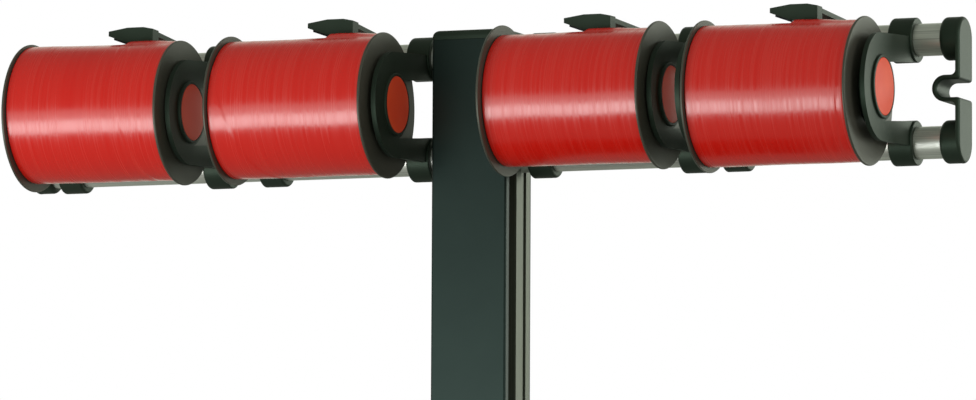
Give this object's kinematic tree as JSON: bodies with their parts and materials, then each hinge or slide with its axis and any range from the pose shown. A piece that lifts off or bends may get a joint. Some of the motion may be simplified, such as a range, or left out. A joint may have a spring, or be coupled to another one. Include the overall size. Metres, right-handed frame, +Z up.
{
  "type": "ribbon spool dispenser",
  "caption": "Counter-top ribbon dispenser: post on a base plate, twin cross rods, ribbon reels held between sliding fork brackets, and a cutter over each reel.",
  "frame": {"origin": "underside of the rubber mat, under the post's middle and in the vertical plane of the rods' axes", "axes": "+X along the rods, -Y to the front where the reels hang, +Z up"},
  "size_m": [0.6227, 0.23, 0.417],
  "materials": {
    "mat_rubber": "matt black rubber",
    "base_steel": "black powder coat",
    "satin_aluminium": "satin anodised",
    "cover_black": "satin black",
    "moulded_black": "fine moulded grain",
    "reel_black": "smooth moulded black",
    "ribbon_red": "glossy wound ribbon",
    "hub_red": "moulded red",
    "blade_steel": "ground steel",
    "screw_steel": "zinc-plated steel"
  },
  "bodies": {
    "root": {"rubber_mat": "mat_rubber", "base_plate": "base_steel", "post_profile": "satin_aluminium", "post_front_cover": "cover_black", "post_rear_strip": "cover_black", "post_top_cap": "moulded_black", "post_screws": "screw_steel", "rod_lock_screws": "screw_steel", "lower_rod": "satin_aluminium", "upper_rod": "satin_aluminium", "left_end_cap": "moulded_black", "right_end_cap": "moulded_black"},
    "reel_1_body": {"reel_1": "reel_black", "ribbon_1": "ribbon_red"},
    "bracket_1_left_body": {"bracket_1_left": "moulded_black", "hub_1_left": "hub_red"},
    "bracket_1_right_body": {"bracket_1_right": "moulded_black", "hub_1_right": "hub_red"},
    "cutter_1_body": {"cutter_1": "moulded_black", "cutter_1_blade": "blade_steel"},
    "reel_2_body": {"reel_2": "reel_black", "ribbon_2": "ribbon_red"},
    "bracket_2_left_body": {"bracket_2_left": "moulded_black", "hub_2_left": "hub_red"},
    "bracket_2_right_body": {"bracket_2_right": "moulded_black", "hub_2_right": "hub_red"},
    "cutter_2_body": {"cutter_2": "moulded_black", "cutter_2_blade": "blade_steel"},
    "reel_3_body": {"reel_3": "reel_black", "ribbon_3": "ribbon_red"},
    "bracket_3_left_body": {"bracket_3_left": "moulded_black", "hub_3_left": "hub_red"},
    "bracket_3_right_body": {"bracket_3_right": "moulded_black", "hub_3_right": "hub_red"},
    "cutter_3_body": {"cutter_3": "moulded_black", "cutter_3_blade": "blade_steel"},
    "reel_4_body": {"reel_4": "reel_black", "ribbon_4": "ribbon_red"},
    "bracket_4_left_body": {"bracket_4_left": "moulded_black", "hub_4_left": "hub_red"},
    "bracket_4_right_body": {"bracket_4_right": "moulded_black", "hub_4_right": "hub_red"},
    "cutter_4_body": {"cutter_4": "moulded_black", "cutter_4_blade": "blade_steel"}
  },
  "joints": [
    {"name": "reel_1_spin", "type": "hinge", "parent": "root", "child": "reel_1_body", "pos_m": [-0.2303, -0.064, 0.36145], "axis": [1, 0, 0], "continuous": true},
    {"name": "bracket_1_left_slide", "type": "slide", "parent": "root", "child": "bracket_1_left_body", "axis": [1, 0, 0], "range_m": [-0.006, 0.0016]},
    {"name": "bracket_1_right_slide", "type": "slide", "parent": "root", "child": "bracket_1_right_body", "axis": [1, 0, 0], "range_m": [-0.00105, 0.0106]},
    {"name": "cutter_1_lift", "type": "hinge", "parent": "root", "child": "cutter_1_body", "pos_m": [-0.2074, 0, 0.3966], "axis": [-1, 0, 0], "range_deg": [0, 70]},
    {"name": "reel_2_spin", "type": "hinge", "parent": "root", "child": "reel_2_body", "pos_m": [-0.09315, -0.064, 0.36145], "axis": [1, 0, 0], "continuous": true},
    {"name": "bracket_2_left_slide", "type": "slide", "parent": "root", "child": "bracket_2_left_body", "axis": [1, 0, 0], "range_m": [-0.0106, 0.0001]},
    {"name": "bracket_2_right_slide", "type": "slide", "parent": "root", "child": "bracket_2_right_body", "axis": [1, 0, 0], "range_m": [-0.00245, 0.0085]},
    {"name": "cutter_2_lift", "type": "hinge", "parent": "root", "child": "cutter_2_body", "pos_m": [-0.0713, 0, 0.3966], "axis": [-1, 0, 0], "range_deg": [0, 70]},
    {"name": "reel_3_spin", "type": "hinge", "parent": "root", "child": "reel_3_body", "pos_m": [0.0888, -0.064, 0.36145], "axis": [1, 0, 0], "continuous": true},
    {"name": "bracket_3_left_slide", "type": "slide", "parent": "root", "child": "bracket_3_left_body", "axis": [1, 0, 0], "range_m": [-0.0065, 0.0001]},
    {"name": "bracket_3_right_slide", "type": "slide", "parent": "root", "child": "bracket_3_right_body", "axis": [1, 0, 0], "range_m": [-0.00135, 0.0057]},
    {"name": "cutter_3_lift", "type": "hinge", "parent": "root", "child": "cutter_3_body", "pos_m": [0.1, 0, 0.3966], "axis": [-1, 0, 0], "range_deg": [0, 70]},
    {"name": "reel_4_spin", "type": "hinge", "parent": "root", "child": "reel_4_body", "pos_m": [0.2214, -0.064, 0.35935], "axis": [1, 0, 0], "continuous": true},
    {"name": "bracket_4_left_slide", "type": "slide", "parent": "root", "child": "bracket_4_left_body", "axis": [1, 0, 0], "range_m": [-0.0057, 0.005]},
    {"name": "bracket_4_right_slide", "type": "slide", "parent": "root", "child": "bracket_4_right_body", "axis": [1, 0, 0], "range_m": [-0.00525, 0.017]},
    {"name": "cutter_4_lift", "type": "hinge", "parent": "root", "child": "cutter_4_body", "pos_m": [0.2341, 0, 0.3966], "axis": [-1, 0, 0], "range_deg": [0, 70]}
  ]
}
